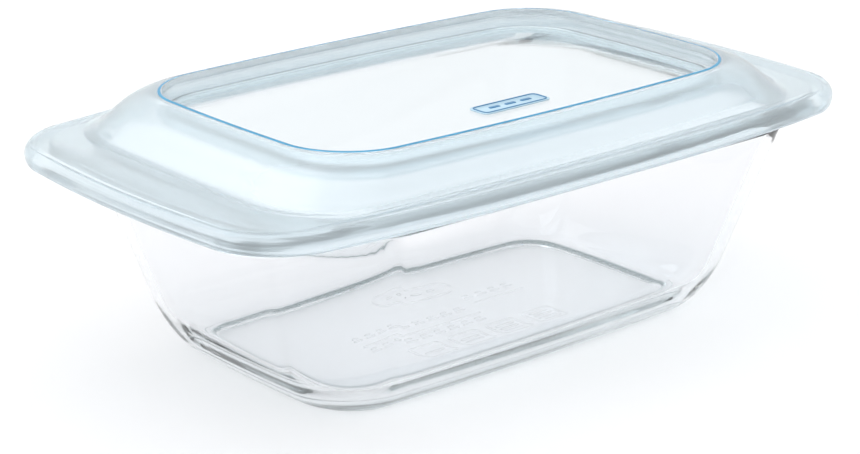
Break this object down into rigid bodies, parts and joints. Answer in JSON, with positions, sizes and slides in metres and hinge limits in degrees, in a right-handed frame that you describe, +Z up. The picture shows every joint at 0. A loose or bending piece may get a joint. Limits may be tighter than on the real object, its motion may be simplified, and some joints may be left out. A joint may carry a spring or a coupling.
{
  "type": "lidded glass loaf dish",
  "caption": "Rectangular clear glass loaf dish with tapered walls and end grip tabs, under a frosted pale blue lift-off lid with a clear recessed top panel.",
  "frame": {"origin": "on the table, under the middle of the dish", "axes": "+X along the dish's length, +Y across it, +Z up through the lid"},
  "size_m": [0.2702, 0.1538, 0.09],
  "materials": {
    "dish_glass": "clear pressed glass, polished by fire",
    "frosted_plastic": "satin, translucent pale ice blue",
    "clear_plastic": "polished, clear with a faint blue tint"
  },
  "bodies": {
    "dish": {"glass_dish": "dish_glass"},
    "lid": {"lid_surround": "frosted_plastic", "lid_window": "clear_plastic"}
  },
  "joints": [
    {"name": "lid_lift", "type": "slide", "parent": "dish", "child": "lid", "axis": [0, 0, 1], "range_m": [0, 0.12]}
  ]
}
